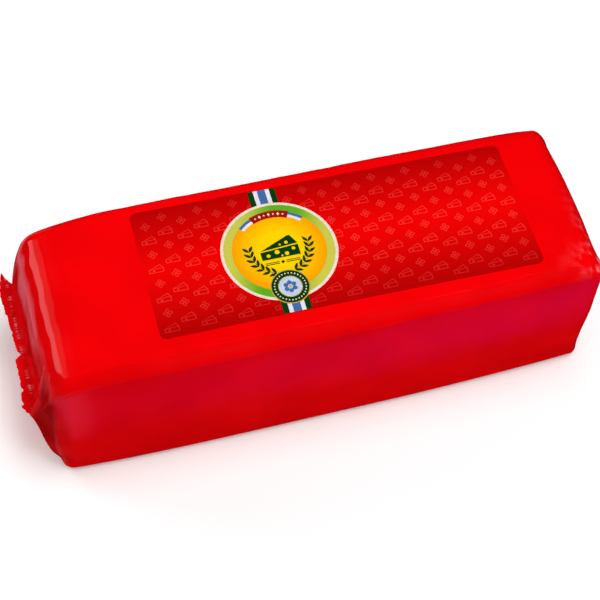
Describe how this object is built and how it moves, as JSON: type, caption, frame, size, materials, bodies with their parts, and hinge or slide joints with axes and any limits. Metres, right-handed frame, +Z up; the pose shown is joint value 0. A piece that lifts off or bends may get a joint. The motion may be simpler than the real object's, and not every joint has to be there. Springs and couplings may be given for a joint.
{
  "type": "edam cheese loaf in red film",
  "caption": "Rectangular semi-hard cheese loaf, shrink-wrapped in red film with a torn heat-seal fin at one end and a printed label on top.",
  "frame": {"origin": "on the table, under the middle of the whole pack's box", "axes": "+Z up, +X along the loaf away from the sealed end, -Y is the long front side"},
  "size_m": [0.3216, 0.1094, 0.0961],
  "materials": {
    "red_film": "soft gloss red shrink film, tight over the cheese, loose and wrinkled at the sealed end",
    "printed_label": "satin printed red label with a lattice of small pale-red motifs and a round cream, green and yellow seal"
  },
  "bodies": {
    "root": {"wrapped_loaf": "red_film", "label": "printed_label"}
  },
  "joints": []
}
